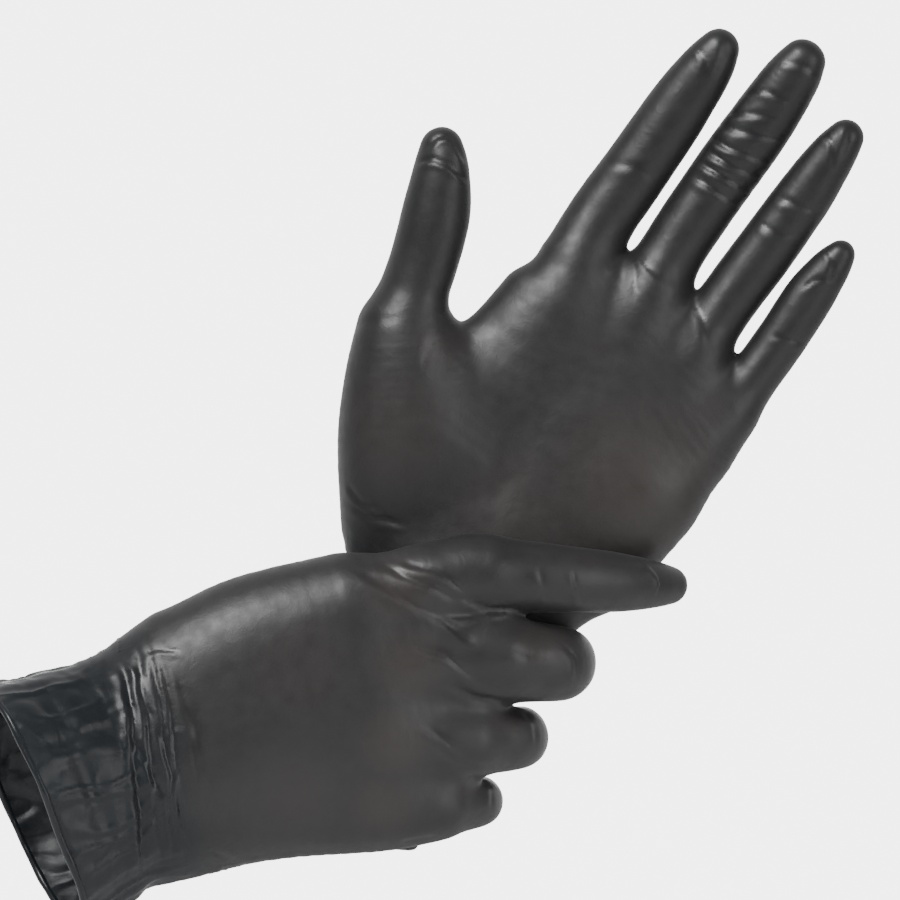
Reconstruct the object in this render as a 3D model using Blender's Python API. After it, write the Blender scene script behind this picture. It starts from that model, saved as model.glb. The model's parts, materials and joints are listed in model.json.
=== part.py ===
"""A pair of disposable dipped gloves, one open and one gripping the other's wrist.

Each glove is a hollow film with an open, beaded cuff.  The film is cut at every
knuckle, and the pieces turn about the lateral axis of that knuckle: the distal
sleeve carries a ball-shaped skirt that sits inside the sleeve before it, so that
no gap shows when a finger bends.

All dimensions below are millimetres.  +X is the wearer's left, +Z is up and -Y is
the side that the open palm faces.  The origin is the middle of the open glove's
wrist.
"""
import math

import bmesh
import bpy
from mathutils import Matrix, Vector

for ob in list(bpy.data.objects):
    bpy.data.objects.remove(ob, do_unlink=True)

MM = 0.001
WALL = 0.8        # film thickness of the solids
BALL_GAP = 0.5    # radial play of a skirt in the sleeve around it
CUT_GAP = 0.6     # play between two sleeve ends
SEAM = 0.35       # play between pieces that do not move on each other
COLUMNS = 12
HOLE = math.radians(56)   # half angle of the opening in a skirt


def V(x, y, z):
    return Vector((x, y, z))


# ---------------------------------------------------------------- materials
def material(name, colour, roughness):
    m = bpy.data.materials.new(name)
    m.use_nodes = True
    b = m.node_tree.nodes["Principled BSDF"]
    b.inputs["Base Color"].default_value = (*colour, 1.0)
    b.inputs["Roughness"].default_value = roughness
    b.inputs["Metallic"].default_value = 0.0
    return m


FILM = (0.040, 0.040, 0.043)
CUFF = (0.030, 0.032, 0.037)
BEAD = (0.022, 0.024, 0.028)


# ---------------------------------------------------------------- mesh helpers
def mesh_from_rings(name, rings, wrap=False, cap_first=None, cap_last=None):
    """A grid skin over closed rings of equal length.

    wrap joins the last ring to the first (a tube wall with both of its ends
    turned over); otherwise each end is closed by a fan to a given point.
    """
    bm = bmesh.new()
    rows = [[bm.verts.new(p * MM) for p in ring] for ring in rings]
    n = len(rows[0])
    pairs = list(zip(rows, rows[1:])) + ([(rows[-1], rows[0])] if wrap else [])
    for lower, upper in pairs:
        for k in range(n):
            j = (k + 1) % n
            bm.faces.new((lower[k], lower[j], upper[j], upper[k]))
    if not wrap:
        for row, tip in ((rows[0], cap_first), (rows[-1], cap_last)):
            point = bm.verts.new(tip * MM)
            for k in range(n):
                bm.faces.new((row[k], row[(k + 1) % n], point))
    bmesh.ops.triangulate(bm, faces=bm.faces[:])
    bmesh.ops.recalc_face_normals(bm, faces=bm.faces[:])
    me = bpy.data.meshes.new(name)
    bm.to_mesh(me)
    bm.free()
    return me


def add_object(name, me, mat=None, parent=None):
    ob = bpy.data.objects.new(name, me)
    bpy.context.scene.collection.objects.link(ob)
    if mat:
        me.materials.append(mat)
    if parent:
        me.transform(parent["inverse"])
        ob.parent = parent["empty"]
    return ob


def pivot(name, at, axis, pointing, parent=None):
    """An empty at a knuckle: its X lies on the hinge axis, its Z along the sleeve."""
    x, z = axis.normalized(), pointing.normalized()
    y = z.cross(x).normalized()
    world = Matrix((x, y, z)).transposed().to_4x4()
    world.translation = at * MM
    empty = bpy.data.objects.new(name, None)
    empty.empty_display_size = 0.01
    bpy.context.scene.collection.objects.link(empty)
    if parent:
        empty.parent = parent["empty"]
        empty.matrix_local = parent["inverse"] @ world
    else:
        empty.matrix_local = world
    return {"empty": empty, "inverse": world.inverted()}


def ellipse(centre, lateral, normal, a, b, count=COLUMNS, power=1.0):
    """Points round an ellipse; power under 1 squares its corners."""
    points = []
    for k in range(count):
        t = 2 * math.pi * k / count
        c, s = math.cos(t), math.sin(t)
        c = math.copysign(abs(c) ** power, c)
        s = math.copysign(abs(s) ** power, s)
        points.append(centre + lateral * (a * c) + normal * (b * s))
    return points


# ---------------------------------------------------------------- sleeves
def cut_ring(joint, d, lateral, normal, a, b, lean, shift, sign):
    """Ring where a tube meets the two half planes through its hinge axis.

    The back half is square to the tube; the palm-side half leans away from the
    joint by lean, which leaves room for the finger to bend.  sign is +1 for the
    near end of a sleeve, -1 for its far end.
    """
    ring = []
    for k in range(COLUMNS):
        t = 2 * math.pi * k / COLUMNS
        c, s = math.cos(t), math.sin(t)
        back = shift + (b * -s * math.tan(lean) if s < -1e-9 else 0.0)
        ring.append(joint + lateral * (a * c) + normal * (b * s) + d * (sign * back))
    return ring


def skirt_directions(lean, tilt, steps):
    """Unit directions, (lateral, normal, along), from the cut plane to the skirt's hole."""
    rows = []
    hole_axis = V(0, -math.sin(tilt), -math.cos(tilt))
    hole_up = V(0, math.cos(tilt), -math.sin(tilt))
    for i in range(steps + 1):
        f = i / steps
        row = []
        for k in range(COLUMNS):
            t = 2 * math.pi * k / COLUMNS
            c, s = math.cos(t), math.sin(t)
            if s < -1e-9:
                start = V(c, s * math.cos(lean), -s * math.sin(lean))
            else:
                start = V(c, s, 0)
            end = (V(1, 0, 0) * c + hole_up * s) * math.sin(HOLE) + hole_axis * math.cos(HOLE)
            row.append(start.slerp(end, f))
        rows.append(row)
    return rows


def sleeve(joint, d, lateral, normal, length, near, far, lean_near, lean_far, tilt, tip):
    """Closed wall of one sleeve: a tapered tube with a skirt at its near end."""
    a0, b0 = near
    a1, b1 = far
    ab, bb = a0 - WALL - BALL_GAP, b0 - WALL - BALL_GAP
    ai, bi = ab - WALL, bb - WALL
    end = joint + d * length
    shift = CUT_GAP / 2

    def on_skirt(row, a, b):
        return [
            joint + lateral * (a * u.x) + normal * (b * u.y) + d * (b * u.z + shift)
            for u in row
        ]

    rows = skirt_directions(lean_near, tilt, 2)
    outer = [cut_ring(joint, d, lateral, normal, a0, b0, lean_near, shift, 1)]
    inner = [on_skirt(row, ai, bi) for row in rows[::-1]]
    skirt = [on_skirt(row, ab, bb) for row in rows[::-1]]
    if not tip:
        outer.append(cut_ring(end, d, lateral, normal, a1, b1, lean_far, shift, -1))
        lining = [
            cut_ring(end, d, lateral, normal, a1 - WALL, b1 - WALL, lean_far, shift, -1)
        ]
        rings = outer + lining + inner[::-1] + skirt
        return mesh_from_rings("sleeve", rings, wrap=True)
    # rounded, slightly pointed fingertip
    cover, lining = [], []
    for share, along in ((1.0, 0.0), (0.86, 0.46), (0.52, 0.84)):
        cover.append(
            ellipse(end + d * (along * a1), lateral, normal, a1 * share, b1 * share)
        )
        lining.append(
            ellipse(
                end + d * (along * a1 - WALL * along),
                lateral,
                normal,
                a1 * share - WALL,
                b1 * share - WALL,
            )
        )
    chain = skirt[::-1][1:]            # from the cut plane to the hole, outside
    rings = cover[::-1] + outer + [skirt[-1]] + chain + inner + lining
    return mesh_from_rings(
        "sleeve",
        rings,
        cap_first=end + d * a1,
        cap_last=end + d * (a1 - WALL * 1.3),
    )


def rotate(v, axis, degrees):
    return Matrix.Rotation(math.radians(degrees), 3, axis) @ v


def digit(glove, name, spec, parent, mat):
    """All sleeves of one finger or thumb.  Returns its root for the palm to grow."""
    base, d, normal = spec["at"], spec["along"].normalized(), spec["back"]
    normal = (normal - d * normal.dot(d)).normalized()
    lateral = normal.cross(d).normalized()
    sections = spec["sections"]
    bends, reach, lengths = spec["bends"], spec["reach"], spec["lengths"]
    parts = ("base", "mid", "tip") if len(lengths) == 3 else ("base", "tip")
    root_dir, root_normal = d, normal
    joint, holder = base, parent
    for i, part in enumerate(parts):
        d = rotate(d, lateral, bends[i])
        normal = d.cross(lateral)
        share = 0.5 if i == 0 else 0.56
        lean_near = math.radians((reach[i] + 3) * share)
        last = i == len(parts) - 1
        lean_far = 0.0 if last else math.radians((reach[i + 1] + 3) * 0.44)
        holder = pivot(f"{glove}_{name}_{part}_pivot", joint, lateral, d, holder)
        me = sleeve(
            joint, d, lateral, normal, lengths[i], sections[i], sections[i + 1],
            lean_near, lean_far, math.radians(bends[i] * 0.5 + 8), last,
        )
        add_object(f"{glove}_{name}_{part}", me, mat(f"{glove}_{name}_{part}"), holder)
        joint = joint + d * lengths[i]
    return {
        "joint": base, "d": root_dir, "lateral": lateral, "normal": root_normal,
        "section": sections[0], "lean": math.radians((reach[0] + 3) * 0.5),
        "path": spec.get("path"), "depth": spec.get("depth", 22.3),
    }


def root_solids(name, root):
    """The palm's part of a digit, outside and inside, as two closed solids."""
    d, lateral, normal = root["d"], root["lateral"], root["normal"]
    a, b = root["section"]
    joint = root["joint"]
    path = root["path"] or [(joint - d * root["depth"], a * 1.03, b * 1.01)]
    shift = CUT_GAP / 2
    made = []
    for inset, extra in ((0.0, 0.0), (WALL, 6.0)):
        rings = [
            ellipse(c, lateral, normal, ra - inset, rb - inset) for c, ra, rb in path
        ]
        if root["path"]:
            rings.append(
                ellipse(joint - d * (b + 3.0), lateral, normal, a - inset, b - inset)
            )
        if extra:
            rings.append(
                ellipse(joint + d * extra, lateral, normal, a - inset, b - inset)
            )
            last = joint + d * extra
        else:
            rings.append(
                cut_ring(joint, d, lateral, normal, a, b, root["lean"], shift, -1)
            )
            last = joint - d * shift
        made.append(
            mesh_from_rings(name, rings, cap_first=path[0][0], cap_last=last)
        )
    return made


# ---------------------------------------------------------------- palms
def palm(glove, sections, roots, parent, mat, tidy=False):
    """Hand shell: lofted body joined to the digits' roots, then hollowed."""
    count = 16

    def body(inset, reach):
        rings = []
        for i, (centre, lateral, normal, a, b) in enumerate(sections):
            rings.append(
                ellipse(centre, lateral, normal, a - inset, b - inset, count, 0.9)
            )
        first = sections[0]
        away = first[1].cross(first[2]).normalized()
        if away.dot(first[0] - sections[1][0]) < 0:
            away = -away
        start = first[0]
        if reach:
            start = first[0] + away * reach
            rings.insert(
                0,
                ellipse(start, first[1], first[2], first[3] - inset, first[4] - inset, count, 0.9),
            )
        final = sections[-1]
        push = (final[0] - sections[-2][0]).normalized()
        return mesh_from_rings(
            "body", rings, cap_first=start, cap_last=final[0] + push * (1.5 - inset)
        )

    ob = add_object(f"{glove}_palm", body(0.0, 0.0), mat(f"{glove}_palm"), parent)
    grown = bpy.data.collections.new(f"{glove}_roots_outside")
    hollow = bpy.data.collections.new(f"{glove}_hollow")
    for c in (grown, hollow):
        bpy.context.scene.collection.children.link(c)

    def cutter(name, me, collection):
        c = bpy.data.objects.new(name, me)
        collection.objects.link(c)
        c.hide_render = True
        c.display_type = "WIRE"

    cutter(f"{glove}_inside_palm", body(WALL, 8.0), hollow)
    for i, root in enumerate(roots):
        outside, inside = root_solids(f"{glove}_root_{i}", root)
        cutter(f"{glove}_root_{i}_outside", outside, grown)
        cutter(f"{glove}_root_{i}_inside", inside, hollow)
    for name, operation, collection in (
        ("roots", "UNION", grown),
        ("hollow", "DIFFERENCE", hollow),
    ):
        m = ob.modifiers.new(name, "BOOLEAN")
        m.operation = operation
        m.operand_type = "COLLECTION"
        m.collection = collection
        m.solver = "EXACT"
    if tidy:
        settle(ob)
    return ob


def settle(ob):
    """Apply the joins, then drop the slivers that they leave."""
    bpy.context.view_layer.update()
    shape = ob.evaluated_get(bpy.context.evaluated_depsgraph_get())
    bm = bmesh.new()
    bm.from_mesh(shape.to_mesh())
    shape.to_mesh_clear()
    bmesh.ops.remove_doubles(bm, verts=bm.verts[:], dist=0.08 * MM)
    bmesh.ops.dissolve_degenerate(bm, edges=bm.edges[:], dist=0.05 * MM)
    bmesh.ops.dissolve_limit(
        bm, angle_limit=math.radians(1.0), use_dissolve_boundaries=False,
        verts=bm.verts[:], edges=bm.edges[:],
    )
    bmesh.ops.triangulate(bm, faces=bm.faces[:], quad_method="BEAUTY", ngon_method="BEAUTY")
    for _ in range(3):
        bmesh.ops.dissolve_degenerate(bm, edges=bm.edges[:], dist=0.05 * MM)
        bmesh.ops.triangulate(bm, faces=bm.faces[:])
    bmesh.ops.recalc_face_normals(bm, faces=bm.faces[:])
    bm.faces.sort(key=lambda f: f.calc_area())
    bm.to_mesh(ob.data)
    bm.free()
    ob.modifiers.clear()
    for collection in [c for c in bpy.data.collections if c.name.startswith(ob.name.split("_")[0])]:
        for cutter in list(collection.objects):
            bpy.data.objects.remove(cutter, do_unlink=True)
        bpy.data.collections.remove(collection)


def cuff(glove, stations, parent, mat, count=16):
    """Open tube from the wrist to the rim, and the rolled bead on the rim."""
    outer = [ellipse(c, l, n, a, b, count) for c, l, n, a, b in stations]
    inner = [ellipse(c, l, n, a - WALL, b - WALL, count) for c, l, n, a, b in stations]
    me = mesh_from_rings("cuff", outer + inner[::-1], wrap=True)
    add_object(f"{glove}_cuff", me, mat(f"{glove}_cuff"), parent)
    c, l, n, a, b = stations[-1]
    out = (c - stations[-2][0]).normalized()
    r = 1.1
    bead = []
    for k in range(6):
        t = 2 * math.pi * k / 6
        bead.append(
            ellipse(
                c + out * (r + SEAM + r * math.sin(t)), l, n,
                a - WALL / 2 + r * math.cos(t), b - WALL / 2 + r * math.cos(t), count,
            )
        )
    me = mesh_from_rings("bead", bead, wrap=True)
    add_object(f"{glove}_cuff_bead", me, mat(f"{glove}_cuff_bead"), parent)


def film(name):
    if name.endswith("bead"):
        return material(name + "_film", BEAD, 0.38)
    if name.endswith("cuff"):
        return material(name + "_film", CUFF, 0.40)
    return material(name + "_film", FILM, 0.46)


# ================================================================ left glove
# Forearm: down, to the right-hand wearer's side and away from the viewer.
ARM_L = V(-0.470, 0.260, -0.845).normalized()
SIDE_L = V(0.874, 0.0, -0.485)
SIDE_L = (SIDE_L - ARM_L * SIDE_L.dot(ARM_L)).normalized()
BACK_L = ARM_L.cross(SIDE_L).normalized()
if BACK_L.y < 0:
    BACK_L = -BACK_L
Y = V(0, 1, 0)

left_hold = pivot("left_hand_pivot", V(0, 0, 0), V(1, 0, 0), V(0, 0, 1))

left_digits = {
    "thumb": dict(
        at=V(-9.6, -8.0, 87.4), along=V(9.9, -10.0, 49.0), back=V(-0.7, 0.7, 0),
        sections=((12.0, 11.0), (11.2, 10.2), (9.7, 8.6)),
        lengths=(27.0, 24.0), bends=(0.0, 2.0), reach=(32.0, 60.0),
        path=[
            (V(-6.0, -3.0, 28.0), 17.0, 15.0),
            (V(-8.0, -5.0, 44.0), 21.5, 15.5),
            (V(-9.3, -6.0, 61.0), 19.5, 14.0),
        ],
    ),
    "index": dict(
        at=V(49.9, 0, 118.1), along=V(0.576, 0, 0.817), back=Y,
        sections=((10.6, 9.8), (10.3, 9.5), (9.3, 8.5), (8.4, 7.4)),
        lengths=(20.0, 22.0, 17.6), bends=(4.0, 6.0, 6.0), reach=(60.0, 85.0, 54.0),
    ),
    "middle": dict(
        at=V(74.1, 0, 109.7), along=V(0.554, 0, 0.833), back=Y,
        sections=((10.4, 9.8), (10.2, 9.5), (9.3, 8.5), (8.4, 7.5)),
        lengths=(23.0, 25.0, 18.2), bends=(4.0, 6.0, 6.0), reach=(60.0, 85.0, 54.0),
    ),
    "ring": dict(
        at=V(87.7, 0, 90.2), along=V(0.584, 0, 0.811), back=Y,
        sections=((9.5, 9.1), (9.3, 8.8), (8.7, 8.0), (7.7, 7.0)),
        lengths=(20.5, 22.5, 17.8), bends=(4.0, 6.0, 6.0), reach=(60.0, 85.0, 54.0),
    ),
    "little": dict(
        at=V(97.0, 0, 69.4), along=V(0.587, 0, 0.810), back=Y,
        sections=((8.2, 7.9), (7.9, 7.6), (7.3, 6.9), (6.5, 6.0)),
        lengths=(14.5, 15.5, 13.6), bends=(4.0, 6.0, 6.0), reach=(60.0, 85.0, 54.0),
    ),
}
left_roots = [
    digit("left", name, spec, left_hold, film) for name, spec in left_digits.items()
]
across = V(0.866, 0, -0.5)
slant = V(0.718, 0, -0.695)
palm(
    "left",
    [
        (ARM_L * 1.0, SIDE_L, BACK_L, 29.0, 20.0),
        (V(4.0, -0.5, 9.0), V(0.87, 0, -0.49), Y, 36.0, 20.5),
        (V(11.6, -0.5, 23.5), across, Y, 46.0, 21.0),
        (V(35.7, 0, 45.6), across, Y, 47.0, 19.0),
        (V(55.5, 0, 69.4), across, Y, 43.5, 16.0),
        (V(65.5, 0, 80.4), slant, Y, 40.0, 12.0),
        (V(68.5, 0, 83.5), slant, Y, 36.0, 8.0),
    ],
    left_roots, left_hold, film,
)
cuff(
    "left",
    [
        (ARM_L * (1.0 + SEAM), SIDE_L, BACK_L, 29.0, 20.0),
        (ARM_L * 24.0, SIDE_L, BACK_L, 29.0, 20.5),
        (ARM_L * 46.0, SIDE_L, BACK_L, 29.3, 21.5),
        (ARM_L * 67.0, SIDE_L, BACK_L, 29.6, 22.0),
    ],
    left_hold, film,
)

# ================================================================ right glove
FRONT = V(0, -1, 0)
HAND = -38.0     # depth of the gripping hand's knuckles in front of the open wrist
right_hold = pivot("right_hand_pivot", V(-87.7, -42.0, -46.5), ARM_L, SIDE_L, left_hold)

right_digits = {
    "thumb": dict(
        at=V(-52.0, 4.0, 3.0), along=V(0.083, 0.97, 0.23), back=V(-0.83, 0.51, 0.26),
        sections=((12.0, 11.2), (10.8, 10.0), (9.4, 8.2)),
        lengths=(35.5, 21.5), bends=(33.0, 42.0), reach=(33.0, 44.0),
        path=[
            (V(-74.0, -38.0, -29.0), 15.0, 13.0),
            (V(-66.0, -28.0, -20.0), 15.5, 13.5),
            (V(-59.0, -13.0, -7.5), 14.0, 12.6),
        ],
    ),
    "index": dict(
        at=V(14.9, HAND, 8.7), along=V(0.998, 0, -0.067), back=FRONT,
        sections=((11.0, 10.2), (10.2, 9.4), (9.0, 8.2), (7.8, 7.0)),
        lengths=(26.0, 21.0, 15.0), bends=(8.0, 22.0, 18.0), reach=(12.0, 34.0, 28.0),
    ),
    "middle": dict(
        at=V(19.5, HAND, -17.1), along=V(0.996, 0, -0.09), back=FRONT,
        sections=((12.0, 11.2), (11.0, 10.2), (9.6, 8.8), (8.2, 7.4)),
        lengths=(17.8, 24.0, 15.5), bends=(20.0, 66.0, 16.0), reach=(20.0, 66.0, 16.0),
    ),
    "ring": dict(
        at=V(8.7, HAND, -41.9), along=V(1.0, 0, 0.0), back=FRONT,
        sections=((10.7, 10.2), (10.1, 9.5), (9.0, 8.4), (7.6, 7.0)),
        lengths=(15.1, 22.5, 15.0), bends=(26.0, 60.0, 16.0), reach=(26.0, 60.0, 16.0),
    ),
    "little": dict(
        at=V(-0.9, HAND, -61.7), along=V(0.999, 0, 0.035), back=FRONT,
        sections=((8.7, 8.4), (8.2, 7.9), (7.4, 7.0), (6.4, 5.9)),
        lengths=(12.9, 16.0, 13.0), bends=(28.0, 58.0, 16.0), reach=(28.0, 58.0, 16.0),
    ),
}
right_roots = [
    digit("right", name, spec, right_hold, film) for name, spec in right_digits.items()
]
ARM_R = V(-0.889, -0.259, -0.386).normalized()
SIDE_R = V(0.063, 0, -0.998)
SIDE_R = (SIDE_R - ARM_R * SIDE_R.dot(ARM_R)).normalized()
BACK_R = SIDE_R.cross(ARM_R).normalized()
if BACK_R.y > 0:
    BACK_R = -BACK_R
WRIST_R = V(-87.7, -42.0, -46.5)
palm(
    "right",
    [
        (WRIST_R, SIDE_R, BACK_R, 34.0, 20.0),
        (V(-69.8, -42.0, -42.8), V(0.03, 0, -1.0), FRONT, 38.0, 18.0),
        (V(-45.0, -41.5, -35.7), V(0.0, 0, -1.0), FRONT, 42.5, 16.5),
        (V(-21.4, -40.6, -30.2), V(-0.1, 0, -0.995), FRONT, 44.2, 15.2),
        (V(-5.5, -39.0, -27.9), V(-0.2, 0, -0.98), FRONT, 43.5, 13.0),
        (V(0.5, -38.2, -27.5), V(-0.234, 0, -0.972), FRONT, 41.5, 10.5),
        (V(3.0, -38.0, -27.5), V(-0.234, 0, -0.972), FRONT, 38.0, 7.5),
    ],
    right_roots, right_hold, film, tidy=True,
)
cuff(
    "right",
    [
        (WRIST_R + ARM_R * SEAM, SIDE_R, BACK_R, 34.0, 20.0),
        (WRIST_R + ARM_R * 16.0, SIDE_R, BACK_R, 35.5, 23.0),
        (WRIST_R + ARM_R * 30.0, SIDE_R, BACK_R, 38.5, 26.5),
        (WRIST_R + ARM_R * 41.0, SIDE_R, BACK_R, 40.5, 29.0),
    ],
    right_hold, film,
)
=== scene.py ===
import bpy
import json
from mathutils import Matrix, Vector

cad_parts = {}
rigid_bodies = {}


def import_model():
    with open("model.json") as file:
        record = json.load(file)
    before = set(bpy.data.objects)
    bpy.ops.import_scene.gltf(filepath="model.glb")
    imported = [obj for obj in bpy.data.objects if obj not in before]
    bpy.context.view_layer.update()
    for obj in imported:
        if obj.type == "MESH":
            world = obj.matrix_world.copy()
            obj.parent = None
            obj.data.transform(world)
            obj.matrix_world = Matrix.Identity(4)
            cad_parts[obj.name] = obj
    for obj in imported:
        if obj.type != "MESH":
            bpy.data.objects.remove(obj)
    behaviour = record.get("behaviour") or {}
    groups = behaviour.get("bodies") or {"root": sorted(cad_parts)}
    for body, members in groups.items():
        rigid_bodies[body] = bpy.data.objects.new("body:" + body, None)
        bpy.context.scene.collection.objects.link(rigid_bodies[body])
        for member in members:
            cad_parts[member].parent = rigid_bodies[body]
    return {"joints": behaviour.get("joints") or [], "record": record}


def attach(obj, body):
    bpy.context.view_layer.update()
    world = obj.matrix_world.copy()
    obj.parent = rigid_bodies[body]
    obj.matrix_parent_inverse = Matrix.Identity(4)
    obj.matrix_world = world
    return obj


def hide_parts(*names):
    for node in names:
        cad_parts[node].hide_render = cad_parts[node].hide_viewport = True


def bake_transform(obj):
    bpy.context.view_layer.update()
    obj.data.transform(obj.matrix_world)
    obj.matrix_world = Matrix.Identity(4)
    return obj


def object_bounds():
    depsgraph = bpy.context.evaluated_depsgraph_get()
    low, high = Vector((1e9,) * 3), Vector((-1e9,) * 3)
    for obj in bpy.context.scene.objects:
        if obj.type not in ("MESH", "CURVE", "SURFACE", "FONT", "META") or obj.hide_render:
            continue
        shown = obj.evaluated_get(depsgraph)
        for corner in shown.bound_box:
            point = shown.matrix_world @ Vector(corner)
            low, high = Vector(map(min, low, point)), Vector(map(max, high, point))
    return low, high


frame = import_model()
import json
import math
import bpy
import numpy as np
from mathutils import Vector

CAD_BOX = [[float(x) for x in p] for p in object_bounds()]

# ---------------------------------------------------------------------------
# Both gloves as distance fields, in millimetres.  "Board" units are 0.31 mm,
# u to the right and v down, with the open wrist at (440, 600).
# ---------------------------------------------------------------------------
K, OU, OV = 0.31, 440.0, 600.0
FAR = 30.0


def B(u, v, y):
    return np.array([(u - OU) * K, y, (OV - v) * K])


def unit(v):
    v = np.array(v, float)
    return v / np.linalg.norm(v)


def smooth_chain(c, steps=7):
    P, a, b = c["P"], c["a"], c["b"]
    X = np.hstack([P, a[:, None], b[:, None]])
    n = len(X)
    out = []
    for i in range(n - 1):
        p0, p1, p2, p3 = X[max(i - 1, 0)], X[i], X[i + 1], X[min(i + 2, n - 1)]
        for j in range(steps):
            t = j / steps
            out.append(0.5 * ((2 * p1) + (-p0 + p2) * t + (2 * p0 - 5 * p1 + 4 * p2 - p3) * t * t
                              + (-p0 + 3 * p1 - 3 * p2 + p3) * t ** 3))
    out.append(X[-1])
    X = np.array(out)
    return dict(c, P=X[:, :3], a=X[:, 3], b=X[:, 4])


def planar(points, back, k=4.0):
    p, q = B(*points[0][:3]), B(*points[-1][:3])
    p[1] = q[1] = 0
    lat = unit(np.cross(back, q - p))
    return smooth_chain(dict(
        P=np.array([B(u, v, y) for u, v, y, a, b in points]),
        a=np.array([a * K for u, v, y, a, b in points]),
        b=np.array([float(b) for u, v, y, a, b in points]), lat=lat, k=k))


def tube(P, a, b, lat=None, k=7.0, smooth=False):
    c = dict(P=np.array(P, float), a=np.array(a, float), b=np.array(b, float),
             lat=None if lat is None else unit(lat), k=k)
    return smooth_chain(c) if smooth else c


def curl(base, lateral, palmward, segs, k=5.0):
    """A finger bent in the plane square to its lateral axis: (length, angle from the hand plane, a, b)."""
    p, lat, pal = B(*base), unit(lateral), np.array(palmward, float)
    fwd = unit(np.cross(pal, lat))
    if fwd[0] < 0:
        fwd = -fwd
    P, A, D = [], [], []
    for length, ang, a, b in segs:
        t = math.radians(ang)
        p = p + (fwd * math.cos(t) + pal * math.sin(t)) * length
        P.append(p); A.append(a); D.append(b)
    return smooth_chain(dict(P=np.array(P), a=np.array(A, float), b=np.array(D, float), lat=lat, k=k))


def chain_sdf(Q, c):
    P, a, b, lat = c["P"], c["a"], c["b"], c["lat"]
    best = np.full(len(Q), FAR)
    reach = max(a.max(), b.max()) + 13.0
    lo, hi = P.min(0) - reach, P.max(0) + reach
    sel = np.nonzero(((Q > lo) & (Q < hi)).all(1))[0]
    if not len(sel):
        return best
    Qs = Q[sel]
    out = np.full(len(Qs), FAR)
    for i in range(len(P) - 1):
        p, q = P[i], P[i + 1]
        r = max(a[i], a[i + 1], b[i], b[i + 1]) + 13.0
        near = np.nonzero(((Qs > np.minimum(p, q) - r) & (Qs < np.maximum(p, q) + r)).all(1))[0]
        if not len(near):
            continue
        d = q - p
        w = Qs[near] - p
        t = np.clip(w @ d / (float(d @ d) + 1e-12), 0, 1)
        v = w - t[:, None] * d
        n2 = (v * v).sum(1)
        bb = b[i] + (b[i + 1] - b[i]) * t
        if lat is None:
            dist = np.sqrt(n2) - bb
        else:
            aa = a[i] + (a[i + 1] - a[i]) * t
            x = v @ lat
            rest2 = np.maximum(n2 - x * x, 0)
            f = np.sqrt((x / aa) ** 2 + rest2 / bb ** 2)
            g = np.sqrt((x / aa ** 2) ** 2 + rest2 / bb ** 4) / np.maximum(f, 1e-6)
            dist = np.where(f < 0.35, -0.65 * np.minimum(aa, bb), (f - 1.0) / np.maximum(g, 1e-3))
        out[near] = np.minimum(out[near], dist)
    best[sel] = out
    return best


def smin(a, b, k):
    h = np.clip(0.5 + 0.5 * (b - a) / k, 0, 1)
    return b + (a - b) * h - k * h * (1 - h)


def hand_sdf(Q, hand, kpalm=9.0):
    body = None
    for c in hand["palm"]:
        d = chain_sdf(Q, c)
        body = d if body is None else smin(body, d, kpalm)
    out = body
    for c in hand["digits"].values():
        d = chain_sdf(Q, c)
        out = smin(out, smin(body, d, c["k"]), 1.8)
    return out


BY, FY = np.array([0, 1.0, 0]), np.array([0, -1.0, 0])
ARM_L = unit((-0.470, 0.260, -0.845))
SIDE_L = np.array([0.874, 0.0, -0.485]); SIDE_L = unit(SIDE_L - ARM_L * (SIDE_L @ ARM_L))
ARM_R = unit((-0.889, -0.259, -0.386))
SIDE_R = np.array([0.063, 0, -0.998]); SIDE_R = unit(SIDE_R - ARM_R * (SIDE_R @ ARM_R))
WRIST_R = np.array([-87.7, -42.0, -46.5])
HAND = -38.0


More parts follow.
